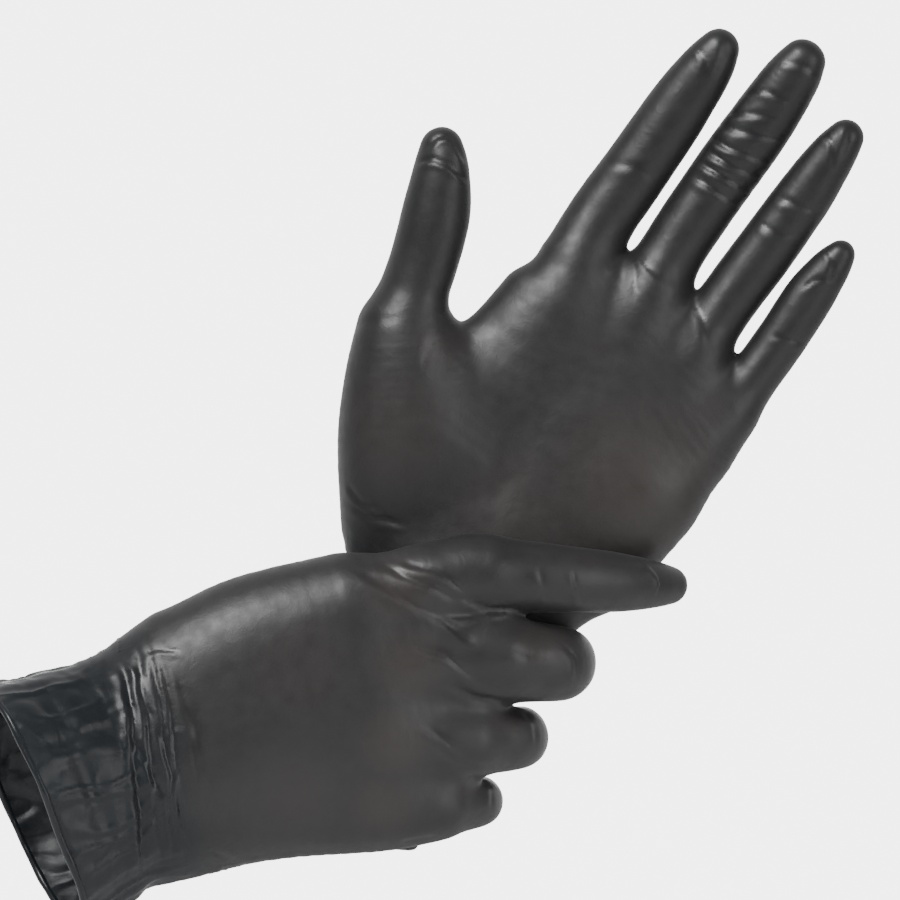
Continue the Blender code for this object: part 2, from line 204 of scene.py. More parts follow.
def left_hand():
    palm = [
        planar([(468, 556, 1, 84, 15.5), (520, 420, 0, 66, 14.5), (568, 308, -1, 44, 11.5), (577, 274, -1, 37, 10.4)], BY),
        planar([(478, 566, 1, 80, 16), (560, 440, 0, 62, 14.5), (640, 314, 0, 42, 12.0), (652, 288, 0, 34, 10.4)], BY),
        planar([(490, 575, 1, 80, 16), (585, 460, 0, 62, 14.5), (680, 374, 0, 41, 11.5), (694, 350, 0, 31, 9.8)], BY),
        planar([(505, 575, 1, 78, 15.5), (608, 493, 0, 72, 14), (684, 444, 0, 49, 12.0), (724, 412, 0, 28, 8.8)], BY),
        planar([(418, 520, -1.5, 74, 17.5), (410, 440, -4.5, 69, 17.5), (407, 380, -7, 59, 15.5), (405, 330, -8, 45, 12.5)], BY),
        planar([(575, 548, 0, 70, 14.5), (636, 488, -1, 59, 13.5)], BY),
        planar([(450, 440, -4, 62, 14), (500, 372, -3, 54, 10.5), (546, 309, -2, 47, 9.5)], BY),
        planar([(500, 545, 1, 96, 17.5), (462, 592, 1.5, 95, 18.0), (442, 620, 2, 91, 18.5)], BY),
        tube([ARM_L * -4, ARM_L * 24, ARM_L * 46, ARM_L * 67, ARM_L * 86], [27.8, 27.6, 27.8, 28.6, 29.0],
             [18.5, 19.4, 20.4, 21.2, 21.6], SIDE_L),
    ]
    digits = {
        "thumb": planar([(409, 345, -8, 45, 13), (408, 310, -8.5, 34.5, 11.8), (424, 262, -10, 34, 11.2), (436, 215, -12, 34, 10.6),
                         (441, 175, -13.5, 28, 9.4), (441.5, 152, -14, 21.5, 7.4)], np.array([-0.5, 0.86, 0]), 6.0),
        "index": planar([(578, 262, -1, 38.5, 10.6), (603, 216, 0, 35, 10.0), (640, 164, -1.3, 33.5, 9.6), (676, 111, -3.6, 32, 9.0),
                         (704, 71, -6.2, 27.5, 7.9), (717.5, 51, -7.5, 21, 6.6)], BY, 5.0),
        "middle": planar([(654, 284, 0, 35, 10.4), (678, 242, 0, 32.5, 10.0), (716, 186, -1.3, 33, 9.7), (759, 126, -4.2, 32.5, 9.0),
                          (789, 82, -7.2, 28.5, 7.9), (802, 62, -8.6, 22.5, 6.6)], BY, 5.0),
        "ring": planar([(699, 344, 0, 32, 9.8), (723, 307, 0, 30, 9.3), (760, 257, -1.2, 30, 9.0), (801, 200, -3.6, 28.5, 8.3),
                        (830, 158, -6.0, 24, 7.2), (844, 139, -7.4, 18.5, 5.9)], BY, 5.0),
        "little": planar([(727, 411, 0, 30, 9.0), (753, 378, 0, 26, 8.2), (782, 338, -1, 25.5, 7.6), (808, 298, -2.6, 25, 7.0),
                          (828, 270, -4.2, 20.5, 6.0), (839, 256, -5, 15, 5.0)], BY, 5.0),
    }
    return dict(palm=palm, digits=digits)


def right_hand():
    H = HAND
    dz = np.array([0, 0, -4.8])
    palm = [
        planar([(170, 745, -41, 96, 17), (290, 655, -42, 66, 15), (400, 598, -41, 46, 12.5), (450, 578, -39, 38, 11.5), (486, 572, H, 35, 10.8)], FY),
        planar([(175, 750, -41, 92, 17), (300, 690, -42, 62, 14.5), (408, 660, -42, 46, 12.5), (465, 655, -39.5, 41, 11.8), (500, 655, H, 38, 11.5)], FY),
        planar([(178, 758, -41, 90, 17), (300, 730, -41.5, 60, 14.5), (395, 733, -41.5, 44, 12.0), (440, 735, -39.5, 38, 11.2), (466, 735, H, 34, 10.4)], FY),
        planar([(180, 770, -40.5, 84, 17), (295, 782, -40, 65, 15), (380, 797, -40, 45, 11.8), (420, 800, -39, 34, 10.2), (437, 800, H, 30, 8.9)], FY),
        planar([(172, 750, -41, 112, 17.5), (215, 738, -41, 111, 17), (290, 717, -40, 111, 16), (365, 702, -39.5, 113, 14)], FY),
        planar([(196, 668, -41, 62, 16), (258, 634, -41, 58, 15.5), (345, 606, -41, 49, 13.5)], FY),
        tube([B(205, 690, -36), B(222, 668, -26), B(246, 646, -13), B(263, 622, -2)], [0] * 4, [15.0, 14.5, 13.3, 12.0]),
        tube([B(300, 640, -38), B(290, 630, -24), B(278, 622, -10)], [0] * 3, [14.0, 10.5, 9.0]),
        tube([WRIST_R - ARM_R * 14, WRIST_R, WRIST_R + ARM_R * 12, WRIST_R + ARM_R * 26, WRIST_R + ARM_R * 41, WRIST_R + ARM_R * 52],
             [33.0, 32.4, 33.8, 36.6, 40.0, 41.4], [18.0, 19.5, 22.0, 25.6, 29, 30], SIDE_R),
    ]
    digits = {
        "thumb": tube([B(263, 614, -4) + dz, np.array([-52.0, 4, 3]) + dz, np.array([-44.5, 16, 5.0]) + dz, np.array([-34.5, 34.0, 7.5]) + dz,
                       np.array([-24, 38.0, 7.8]) + dz, np.array([-15, 40.2, 7.5]) + dz],
                      [12.0, 11.4, 11.2, 10.8, 9.6, 7.6], [11.5, 10.8, 10.4, 10.0, 8.8, 6.5], (-0.16, 0.234, -0.9586), 6.0, True),
        "index": curl((470, 571, H), (0.067, 0, 0.998), BY,
                      [(0, 0, 11.4, 10.6), (6, 2, 11.2, 10.4), (13, 6, 10.9, 10.2), (13, 14, 10.0, 9.8), (11, 24, 9.4, 9.2), (9, 30, 8.5, 8.4),
                       (8, 35, 7.4, 7.2), (7.2, 39, 5.8, 5.6)]),
        "middle": curl((487, 655, H), (0.09, 0, 0.996), BY,
                       [(0, 4, 13.0, 11.8), (5, 12, 12.8, 11.6), (9, 20, 12.3, 11.3), (8, 28, 11.7, 10.9), (8, 70, 11.2, 10.2), (10, 88, 10.4, 9.8),
                        (10, 94, 9.8, 8.8), (8, 104, 9.0, 8.0), (6, 108, 7.2, 6.4)]),
        "ring": curl((455, 735, H), (0.0, 0, 1.0), BY,
                     [(0, 6, 11.4, 10.8), (4, 16, 11.2, 10.6), (8, 26, 10.6, 10.3), (7.2, 34, 9.9, 9.7), (7, 68, 9.4, 9.0), (9, 88, 9.4, 8.6),
                      (9, 92, 8.8, 8.2), (8, 102, 8.0, 7.4), (6, 106, 6.4, 6.0)]),
        "little": curl((424, 800, H), (-0.035, 0, 0.999), BY,
                       [(0, 8, 9.6, 9.2), (4, 20, 9.3, 8.9), (7, 28, 8.8, 8.6), (6, 38, 8.0, 7.9), (6, 70, 7.6, 7.5), (7, 86, 7.6, 7.2), (7, 90, 7.1, 6.7),
                        (6, 100, 6.5, 6.1), (4.5, 104, 5.2, 4.9)]),
    }
    return dict(palm=palm, digits=digits)


# ---------------------------------------------------------------------------
# Isosurface, refined once and pulled back on to the field
# ---------------------------------------------------------------------------
def surface(hand, h):
    lo, hi = np.full(3, 1e9), np.full(3, -1e9)
    for c in list(hand["palm"]) + list(hand["digits"].values()):
        r = np.maximum(c["a"], c["b"])[:, None]
        lo, hi = np.minimum(lo, (c["P"] - r).min(0)), np.maximum(hi, (c["P"] + r).max(0))
    lo, hi = lo - 4, hi + 4
    n = np.ceil((hi - lo) / h).astype(int) + 1
    ax = [lo[i] + h * np.arange(n[i]) for i in range(3)]
    D = np.empty(n)
    slab = max(1, 300000 // (n[1] * n[2]))
    for i in range(0, n[0], slab):
        G = np.stack(np.meshgrid(ax[0][i:i + slab], ax[1], ax[2], indexing="ij"), -1)
        D[i:i + slab] = hand_sdf(G.reshape(-1, 3), hand).reshape(G.shape[:3])
    inside = D < 0
    cells = np.zeros(n - 1, bool)
    first = inside[:-1, :-1, :-1]
    for dx in (0, 1):
        for dy in (0, 1):
            for dz in (0, 1):
                cells |= inside[dx:n[0] - 1 + dx, dy:n[1] - 1 + dy, dz:n[2] - 1 + dz] != first
    idx = np.argwhere(cells)
    number = np.full(n - 1, -1)
    number[tuple(idx.T)] = np.arange(len(idx))
    total, count = np.zeros((len(idx), 3)), np.zeros(len(idx))
    for axis in range(3):
        others = [x for x in range(3) if x != axis]
        for p in (0, 1):
            for q in (0, 1):
                a = idx.copy(); a[:, others[0]] += p; a[:, others[1]] += q
                b = a.copy(); b[:, axis] += 1
                da, db = D[tuple(a.T)], D[tuple(b.T)]
                hit = (da < 0) != (db < 0)
                t = np.where(hit, da / np.where(hit, da - db, 1), 0)
                pt = a.astype(float)
                pt[:, axis] += t
                total += pt * hit[:, None]
                count += hit
    V = lo + h * total / count[:, None]
    faces = []
    for axis in range(3):
        o1, o2 = (axis + 1) % 3, (axis + 2) % 3
        s0 = [slice(None)] * 3; s1 = [slice(None)] * 3
        s0[axis] = slice(0, -1); s1[axis] = slice(1, None)
        e = np.argwhere(inside[tuple(s0)] != inside[tuple(s1)])
        e = e[(e[:, o1] > 0) & (e[:, o2] > 0) & (e[:, o1] < n[o1] - 1) & (e[:, o2] < n[o2] - 1)]
        c = []
        for p, q in ((-1, -1), (0, -1), (0, 0), (-1, 0)):
            k = e.copy(); k[:, o1] += p; k[:, o2] += q
            c.append(number[tuple(k.T)])
        c = np.stack(c, 1)
        flip = ~inside[tuple(e.T)]
        c[flip] = c[flip][:, ::-1]
        faces.append(c)
    return V, np.concatenate(faces)


def gradient(Q, hand, e=0.25):
    d = hand_sdf(Q, hand)
    g = np.stack([hand_sdf(Q + np.eye(3)[i] * e, hand) - d for i in range(3)], 1) / e
    return d, g


def project(V, hand, times=1):
    g = None
    for _ in range(times):
        d, g = gradient(V, hand)
        g2 = np.maximum((g * g).sum(1), 0.2)
        V = V - g * (np.clip(d, -1.2, 1.2) / g2)[:, None]
    return V, g / np.maximum(np.linalg.norm(g, axis=1), 1e-6)[:, None]


def edges_of(F):
    E = np.concatenate([F[:, [i, (i + 1) % 4]] for i in range(4)])
    E = np.sort(E, 1)
    return np.unique(E, axis=0, return_inverse=True)


def relax(V, F, times=2, share=0.5):
    E, _ = edges_of(F)
    deg = np.bincount(E.ravel(), minlength=len(V)).astype(float)
    for _ in range(times):
        s = np.zeros_like(V)
        for k in range(3):
            s[:, k] = np.bincount(E[:, 0], V[E[:, 1], k], len(V)) + np.bincount(E[:, 1], V[E[:, 0], k], len(V))
        V = V + (s / np.maximum(deg, 1)[:, None] - V) * share
    return V


def refine(V, F):
    E, inv = edges_of(F)
    inv = inv.reshape(-1)
    m = len(F)
    mid = len(V) + inv.reshape(4, m).T
    cen = len(V) + len(E) + np.arange(m)
    W = np.concatenate([V, (V[E[:, 0]] + V[E[:, 1]]) / 2, V[F].mean(1)])
    Q = np.concatenate([np.stack([F[:, i], mid[:, i], cen, mid[:, (i + 3) % 4]], 1) for i in range(4)])
    return W, Q


def normals_of(V, F):
    n = np.cross(V[F[:, 2]] - V[F[:, 0]], V[F[:, 3]] - V[F[:, 1]])
    out = np.zeros_like(V)
    for c in range(4):
        for k in range(3):
            out[:, k] += np.bincount(F[:, c], n[:, k], len(V))
    return out / np.maximum(np.linalg.norm(out, axis=1), 1e-9)[:, None]


# ---------------------------------------------------------------------------
# Creases and crinkles
# ---------------------------------------------------------------------------
def noise(P, seed):
    """Value noise in -1..1 with unit cells."""
    rng = np.random.default_rng(seed)
    T = rng.uniform(-1, 1, 4096)
    i = np.floor(P).astype(np.int64)
    f = P - i
    f = f * f * f * (f * (f * 6 - 15) + 10)
    out = np.zeros(len(P))
    for dx in (0, 1):
        for dy in (0, 1):
            for dz in (0, 1):
                h = ((i[:, 0] + dx) * 73856093) ^ ((i[:, 1] + dy) * 19349663) ^ ((i[:, 2] + dz) * 83492791)
                h = (h ^ (h >> 13)) & 4095
                w = (f[:, 0] if dx else 1 - f[:, 0]) * (f[:, 1] if dy else 1 - f[:, 1]) * (f[:, 2] if dz else 1 - f[:, 2])
                out += T[h] * w
    return out


def ridged(P, seed):
    return 1 - np.abs(noise(P, seed)) * 2.2


def line_profile(u, v, pts, width, taper=True):
    """Nearest distance in millimetres to a polyline on the board, with an end taper weight and signed side."""
    best = np.full(len(u), 1e9); side = np.zeros(len(u)); along = np.zeros(len(u))
    pts = np.array(pts, float)
    L = np.r_[0, np.cumsum(np.linalg.norm(np.diff(pts, axis=0), axis=1))]
    for i in range(len(pts) - 1):
        d = pts[i + 1] - pts[i]
        wu, wv = u - pts[i, 0], v - pts[i, 1]
        t = np.clip((wu * d[0] + wv * d[1]) / (d @ d), 0, 1)
        ru, rv = wu - t * d[0], wv - t * d[1]
        dist = np.hypot(ru, rv)
        m = dist < best
        best = np.where(m, dist, best)
        side = np.where(m, np.sign(ru * -d[1] + rv * d[0]), side)
        along = np.where(m, (L[i] + t * (L[i + 1] - L[i])) / L[-1], along)
    w = np.minimum(1, np.minimum(along, 1 - along) * 5) if taper else np.ones(len(u))
    return best * K, side, w


# (points, width mm, height mm): a groove with a raised lip on one side
STROKES = {
    "left": [
        ([(413, 167), (432, 160), (450, 166), (470, 186)], 0.8, 0.50),
        ([(424, 152), (436, 138), (452, 136)], 0.8, 0.30),
        ([(452, 136), (458, 150), (470, 165)], 0.8, 0.25),
        ([(706, 118), (735, 132), (766, 138), (796, 142)], 1.1, 0.30),
        ([(702, 134), (728, 150), (760, 160), (786, 166)], 0.9, 0.45),
        ([(704, 148), (730, 168), (756, 176), (772, 178)], 0.9, 0.45),
        ([(697, 158), (722, 178), (748, 192), (764, 194)], 0.9, 0.50),
        ([(690, 176), (716, 194), (738, 206), (754, 210)], 1.0, 0.40),
        ([(716, 108), (748, 116), (780, 120)], 1.0, 0.28),
        ([(737, 96), (760, 92), (792, 104)], 0.9, 0.20),
        ([(776, 62), (800, 66), (822, 84)], 0.8, 0.22),
        ([(694, 46), (704, 62), (700, 84)], 0.8, 0.22),
        ([(722, 40), (722, 60), (712, 82)], 0.8, 0.22),
        ([(600, 158), (632, 168), (662, 182)], 1.3, 0.16),
        ([(770, 196), (796, 206), (818, 214)], 1.1, 0.24),
        ([(752, 222), (776, 236), (800, 238)], 1.0, 0.18),
        ([(820, 128), (832, 146), (828, 172)], 0.8, 0.22),
        ([(848, 126), (846, 146), (838, 164)], 0.8, 0.20),
        ([(798, 290), (812, 280), (832, 278)], 0.8, 0.24),
        ([(826, 246), (834, 262), (828, 286)], 0.8, 0.26),
        ([(768, 334), (790, 340), (806, 342)], 0.9, 0.18),
        ([(636, 248), (650, 268), (668, 286)], 1.0, 0.20),
        ([(634, 250), (636, 276), (634, 300)], 1.0, 0.18),
        ([(694, 300), (702, 322), (708, 348)], 1.0, 0.18),
        ([(345, 482), (360, 500), (384, 514)], 1.0, 0.28),
        ([(347, 500), (372, 518), (410, 524)], 1.0, 0.26),
        ([(344, 330), (380, 318), (408, 322)], 1.5, 0.16),
        ([(446, 330), (430, 345), (420, 370)], 1.4, 0.14),
    ],
    "right": [
        ([(128, 646), (139, 700), (146, 770), (150, 830), (150, 880)], 1.1, 0.75),
        ([(141, 636), (154, 700), (162, 770), (168, 860)], 0.9, 0.60),
        ([(152, 632), (168, 690), (177, 760), (180, 864)], 0.8, 0.50),
        ([(162, 640), (178, 700), (187, 780), (192, 850)], 0.8, 0.42),
        ([(158, 700), (178, 760), (196, 830), (208, 860)], 0.8, 0.40),
        ([(180, 660), (198, 720), (206, 790)], 0.9, 0.24),
        ([(196, 690), (208, 750), (214, 820)], 0.9, 0.18),
        ([(136, 720), (158, 760), (176, 800)], 0.8, 0.42),
        ([(150, 650), (164, 645), (190, 648)], 0.8, 0.25),
        ([(352, 566), (400, 590), (444, 618), (484, 646)], 1.3, 0.34),
        ([(376, 560), (420, 578), (462, 600)], 1.1, 0.32),
        ([(392, 556), (436, 568), (480, 598)], 1.0, 0.30),
        ([(410, 640), (446, 652), (478, 676), (506, 690)], 1.2, 0.40),
        ([(436, 612), (470, 612), (506, 606)], 1.0, 0.36),
        ([(452, 590), (482, 604), (520, 606)], 1.0, 0.42),
        ([(432, 742), (458, 756), (494, 764)], 1.0, 0.36),
        ([(420, 716), (450, 740), (478, 760)], 1.0, 0.24),
        ([(442, 676), (476, 694), (508, 700)], 1.0, 0.32),
        ([(569, 566), (574, 584), (580, 604)], 0.7, 0.34),
        ([(536, 560), (540, 580), (548, 602)], 0.9, 0.18),
        ([(644, 560), (656, 574), (664, 596)], 0.8, 0.40),
        ([(668, 566), (660, 580), (670, 592)], 0.7, 0.36),
        ([(560, 640), (574, 656), (576, 682)], 0.9, 0.26),
        ([(520, 704), (534, 720), (534, 742)], 0.9, 0.24),
        ([(478, 772), (492, 784), (492, 806)], 0.9, 0.24),
        ([(398, 838), (420, 834), (440, 830)], 0.8, 0.24),
        ([(212, 842), (250, 858), (300, 858)], 1.0, 0.22),
        ([(505, 640), (530, 652), (556, 656)], 1.2, 0.16),
    ],
}
# (u, v, radius mm, strength): painted highlights on knuckles and palm, partly the lighter film drawn tight over bone,
# partly painted light
TIGHT_HIGHLIGHT = {
    "left": [(640, 500, 34, .9), (520, 520, 30, .6), (400, 430, 26, .55), (440, 350, 14, .5), (600, 350, 24, .35), (700, 420, 18, .45),
             (690, 160, 8, .2), (424, 300, 10, .3)],
    "right": [(400, 585, 12, .8), (410, 660, 13, .8), (395, 735, 12, .8), (385, 800, 12, .7), (300, 660, 26, .45), (540, 640, 12, .6),
              (505, 720, 10, .5), (470, 785, 9, .5), (300, 790, 26, .4), (590, 560, 14, .35), (250, 620, 20, .4)],
}


def displace(side, V, N, hand):
    u, v = V[:, 0] / K + OU, OV - V[:, 2] / K
    front = np.clip(-N[:, 1] * 1.6 + 0.1, 0, 1)
    d = np.zeros(len(V)); crease = np.zeros(len(V))
    for pts, w, hgt in STROKES[side]:
        p = np.array(pts, float)
        box = (u > p[:, 0].min() - 26) & (u < p[:, 0].max() + 26) & (v > p[:, 1].min() - 26) & (v < p[:, 1].max() + 26)
        k = np.nonzero(box & (front > 0))[0]
        if side == "right":
            k = k[V[k, 1] < -28]
        if not len(k):
            continue
        wob = noise(V[k] / 9.0, 5) * 0.8
        dist, sd, tap = line_profile(u[k], v[k], pts, w)
        s = dist * sd + wob
        groove = -np.exp(-(s / w) ** 2)
        lip = 0.85 * np.exp(-((s - 1.9 * w) / (1.3 * w)) ** 2)
        d[k] += (groove + lip) * hgt * tap * front[k]
        crease[k] = np.maximum(crease[k], np.exp(-(s / (1.4 * w)) ** 2) * tap * front[k])
    wrist, arm, lat = (np.zeros(3), ARM_L, SIDE_L) if side == "left" else (WRIST_R, ARM_R, SIDE_R)
    hem = 67.0 if side == "left" else 41.0
    R = V - wrist
    s = R @ arm
    l = R @ lat
    nrm = np.cross(arm, lat)
    m = R @ nrm
    ang = np.arctan2(m, l)
    # creases that run round the neck of the glove, where it narrows
    neck = np.exp(-((s + 2) / 9.0) ** 2) if side == "right" else np.exp(-((s - 6) / 12.0) ** 2)
    P = np.stack([s / 2.3 + noise(V / 14.0, 3) * 1.3, np.cos(ang) * 2.1, np.sin(ang) * 2.1], 1)
    r = ridged(P, 11)
    d += (np.clip(r, 0, 1) ** 2 - 0.35) * 0.42 * neck
    crease = np.maximum(crease, np.clip(r, 0, 1) ** 3 * neck * 0.8)
    # loose crinkles of the cuff, along the arm and across it
    loose = np.clip((s - 2) / 12.0, 0, 1)
    P = np.stack([s / 26.0, np.cos(ang) * 7.0 + noise(V / 16.0, 8) * 0.8, np.sin(ang) * 7.0 + noise(V / 16.0, 9) * 0.8], 1)
    r1 = ridged(P, 21)
    P = np.stack([s / 7.0 + noise(V / 9.0, 6) * 0.8, np.cos(ang) * 3.2, np.sin(ang) * 3.2 + s / 9.0], 1)
    r2 = ridged(P, 31)
    fine = ridged(V / np.array([4.2, 4.2, 5.4]), 41)
    d += (np.clip(r1, -0.3, 1) * 0.85 + np.clip(r2, -0.3, 1) * 0.26 + np.clip(fine, -0.2, 1) * 0.08) * loose * (0.5 + 0.5 * np.exp(-((s - hem) / 40.0) ** 2)) * 0.8
    d += 1.3 * np.sin(3 * ang + 0.6) * loose * np.clip(s / hem, 0, 1) ** 2 + 0.7 * np.sin(7 * ang + 2.0) * loose * np.clip(s / hem, 0, 1) ** 3
    if side == "left":
        d = np.where(loose > 0, d * (1 - 0.45 * loose), d)
    # faint unevenness of the whole film
    rest = 1 - loose
    d += noise(V / 11.0, 51) * 0.10 * rest + noise(V / 4.0, 52) * 0.05 * rest
    soft = ridged(np.stack([(V[:, 0] + V[:, 2]) / 16, V[:, 1] / 9, (V[:, 0] - V[:, 2]) / 5.0], 1) + noise(V / 20.0, 55)[:, None] * 1.2, 61)
    d += np.clip(soft - 0.55, 0, 1) * 0.05 * rest * (0.4 + 0.6 * (noise(V / 22.0, 62) > 0))
    # painted highlight: the base colour is lifted at these knuckle and palm spots, on surfaces facing the camera only
    stretch_highlight = np.zeros(len(V))
    for a, b, rad, w in TIGHT_HIGHLIGHT[side]:
        stretch_highlight = np.maximum(stretch_highlight, w * np.exp(-(((u - a) ** 2 + (v - b) ** 2) * K * K) / (rad * rad)))
    stretch_highlight *= front
    return d, np.clip(crease, 0, 1), stretch_highlight, s, loose


# ---------------------------------------------------------------------------
# Materials
# ---------------------------------------------------------------------------
def film(name, dark, mid, highlight_color, rough, grain, crinkle):
    m = bpy.data.materials.new(name)
    m.use_nodes = True
    t = m.node_tree
    bsdf = t.nodes["Principled BSDF"]

    def node(kind, **kw):
        n = t.nodes.new(kind)
        for k, val in kw.items():
            setattr(n, k, val)
        return n

    co = node("ShaderNodeAttribute", attribute_name="rest_co")
    stretch_highlight = node("ShaderNodeAttribute", attribute_name="stretch_highlight")
    crease = node("ShaderNodeAttribute", attribute_name="crease")
    big = node("ShaderNodeTexNoise"); big.inputs["Scale"].default_value = 34; big.inputs["Detail"].default_value = 4
    t.links.new(co.outputs["Vector"], big.inputs["Vector"])
    ramp = node("ShaderNodeValToRGB")
    ramp.color_ramp.elements[0].position = 0.32; ramp.color_ramp.elements[0].color = (*dark, 1)
    ramp.color_ramp.elements[1].position = 0.72; ramp.color_ramp.elements[1].color = (*mid, 1)
    t.links.new(big.outputs["Fac"], ramp.inputs["Fac"])
    # painted highlight: this mix lifts the base colour towards a lighter warm tone on the knuckles and palm
    highlight_mix = node("ShaderNodeMix", data_type="RGBA")
    t.links.new(stretch_highlight.outputs["Fac"], highlight_mix.inputs["Factor"])
    sleeve = node("ShaderNodeAttribute", attribute_name="sleeve")
    ramp2 = node("ShaderNodeValToRGB")
    ramp2.color_ramp.elements[0].position = 0.32; ramp2.color_ramp.elements[0].color = (0.007, 0.009, 0.011, 1)
    ramp2.color_ramp.elements[1].position = 0.72; ramp2.color_ramp.elements[1].color = (0.012, 0.0145, 0.017, 1)
    t.links.new(big.outputs["Fac"], ramp2.inputs["Fac"])
    both = node("ShaderNodeMix", data_type="RGBA")
    t.links.new(sleeve.outputs["Fac"], both.inputs["Factor"])
    t.links.new(ramp.outputs["Color"], both.inputs[6])
    t.links.new(ramp2.outputs["Color"], both.inputs[7])
    t.links.new(both.outputs[2], highlight_mix.inputs[6])
    highlight_mix.inputs[7].default_value = (*highlight_color, 1)
    t.links.new(highlight_mix.outputs[2], bsdf.inputs["Base Color"])
    spots = node("ShaderNodeTexNoise"); spots.inputs["Scale"].default_value = 210; spots.inputs["Detail"].default_value = 5
    t.links.new(co.outputs["Vector"], spots.inputs["Vector"])
    rr = node("ShaderNodeMapRange")
    rr.inputs["From Min"].default_value = 0.3; rr.inputs["From Max"].default_value = 0.7
    rr.inputs["To Min"].default_value = rough - 0.05; rr.inputs["To Max"].default_value = rough + 0.06
    t.links.new(spots.outputs["Fac"], rr.inputs["Value"])
    less = node("ShaderNodeMath", operation="MULTIPLY_ADD")
    t.links.new(crease.outputs["Fac"], less.inputs[0])
    less.inputs[1].default_value = -0.10
    gloss = node("ShaderNodeMath", operation="MULTIPLY_ADD")
    t.links.new(sleeve.outputs["Fac"], gloss.inputs[0])
    gloss.inputs[1].default_value = -0.07
    t.links.new(rr.outputs["Result"], gloss.inputs[2])
    t.links.new(gloss.outputs[0], less.inputs[2])
    t.links.new(less.outputs[0], bsdf.inputs["Roughness"])
    fine = node("ShaderNodeTexNoise"); fine.inputs["Scale"].default_value = 2600; fine.inputs["Detail"].default_value = 3
    t.links.new(co.outputs["Vector"], fine.inputs["Vector"])
    b1 = node("ShaderNodeBump"); b1.inputs["Strength"].default_value = 0.35; b1.inputs["Distance"].default_value = grain
    t.links.new(fine.outputs["Fac"], b1.inputs["Height"])
    wr = node("ShaderNodeTexNoise"); wr.inputs["Scale"].default_value = 260; wr.inputs["Detail"].default_value = 6
    wr.inputs["Distortion"].default_value = 1.1
    t.links.new(co.outputs["Vector"], wr.inputs["Vector"])
    b2 = node("ShaderNodeBump"); b2.inputs["Strength"].default_value = 0.6; b2.inputs["Distance"].default_value = crinkle
    t.links.new(wr.outputs["Fac"], b2.inputs["Height"])
    t.links.new(b1.outputs["Normal"], b2.inputs["Normal"])
    t.links.new(b2.outputs["Normal"], bsdf.inputs["Normal"])
    spec = node("ShaderNodeMapRange")
    spec.inputs["To Min"].default_value = 0.5; spec.inputs["To Max"].default_value = 0.36
    t.links.new(sleeve.outputs["Fac"], spec.inputs["Value"])
    t.links.new(spec.outputs["Result"], bsdf.inputs["Specular IOR Level"])
    bsdf.inputs["Sheen Weight"].default_value = 0.05
    bsdf.inputs["Sheen Roughness"].default_value = 0.5
    return m


# the third colour of each film is the lighter tone of the painted highlight
HAND_FILM = film("hand_film", (0.011, 0.011, 0.012), (0.016, 0.016, 0.0165), (0.034, 0.029, 0.026), 0.45, 0.00006, 0.00012)
BEAD_FILM = film("bead_film", (0.007, 0.009, 0.011), (0.012, 0.0145, 0.017), (0.02, 0.02, 0.022), 0.38, 0.00006, 0.00020)


def make(name, V, F, N, mat, attrs):
    me = bpy.data.meshes.new(name)
    me.vertices.add(len(V)); me.vertices.foreach_set("co", (V / 1000).astype(np.float32).ravel())
    me.loops.add(F.size); me.loops.foreach_set("vertex_index", F.astype(np.int32).ravel())
    me.polygons.add(len(F)); me.polygons.foreach_set("loop_start", np.arange(0, F.size, 4, dtype=np.int32))
    me.update(calc_edges=True)
    me.polygons.foreach_set("use_smooth", np.ones(len(F), bool))
    a = me.attributes.new("rest_co", "FLOAT_VECTOR", "POINT"); a.data.foreach_set("vector", (V / 1000).astype(np.float32).ravel())
    for key, val in attrs.items():
        a = me.attributes.new(key, "FLOAT", "POINT"); a.data.foreach_set("value", val.astype(np.float32))
    me.normals_split_custom_set_from_vertices([tuple(x) for x in N])
    me.materials.append(mat)
    ob = bpy.data.objects.new(name, me)
    bpy.context.scene.collection.objects.link(ob)
    return ob


JOINTS = {j["name"]: j for j in frame["joints"]}
SLOTS = [m.get("slot") for m in frame["record"].get("materials", [])]


def slot_of(piece):
    found = [s for s in SLOTS if s and s.startswith(piece)]
    return found[0] if found else None


# zone in millimetres before and after the base joint: where a digit's faces begin, and where its root piece is cut
ROOT_ZONE = {
    "left": {"thumb": (0.6, 10.0), "index": (0.4, 9.2), "middle": (-4.5, 4.5), "ring": (0.0, 8.6), "little": (-2.6, 5.2)},
    "right": {"thumb": (-4.0, 5.0), "index": (0.0, 8.0), "middle": (-3.0, 5.0), "ring": (-2.5, 4.5), "little": (-2.5, 4.0)},
}


def joint_points(side, digit, chain):
    names = ["base_bend", "tip_bend"] if digit == "thumb" else ["base_bend", "middle_bend", "tip_bend"]
    P = [np.array(JOINTS[f"{side}_{digit}_{n}"]["pos_m"], float) * 1000 for n in names]
    P.append(chain["P"][-1])
    return P


